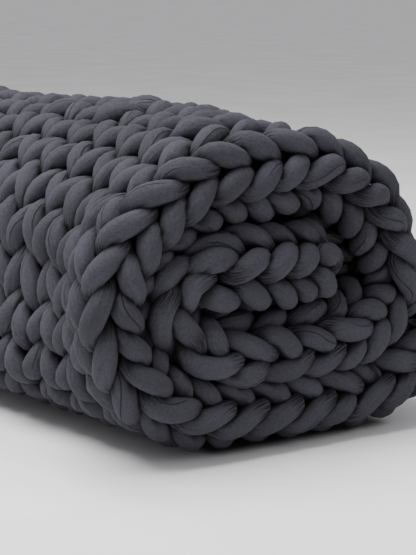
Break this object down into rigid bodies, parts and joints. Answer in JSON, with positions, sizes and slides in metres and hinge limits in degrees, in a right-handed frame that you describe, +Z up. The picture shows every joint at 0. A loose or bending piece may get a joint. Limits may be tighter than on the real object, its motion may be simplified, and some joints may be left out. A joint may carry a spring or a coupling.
{
  "type": "weighted blanket",
  "caption": "Chunky knitted weighted blanket of stuffed jersey yarn, rolled up knit side out and lying on its side, for covering a bed or sofa.",
  "frame": {"origin": "middle of the roll's footprint, on the surface it lies on", "axes": "+Y along the roll from the open end that shows to the far end, +Z up, +X to the right seen from the open end"},
  "size_m": [0.524, 0.9, 0.3725],
  "materials": {
    "jersey_yarn": "matt charcoal jersey with a fine knit grain"
  },
  "bodies": {
    "root": {"blanket": "jersey_yarn"}
  },
  "joints": []
}
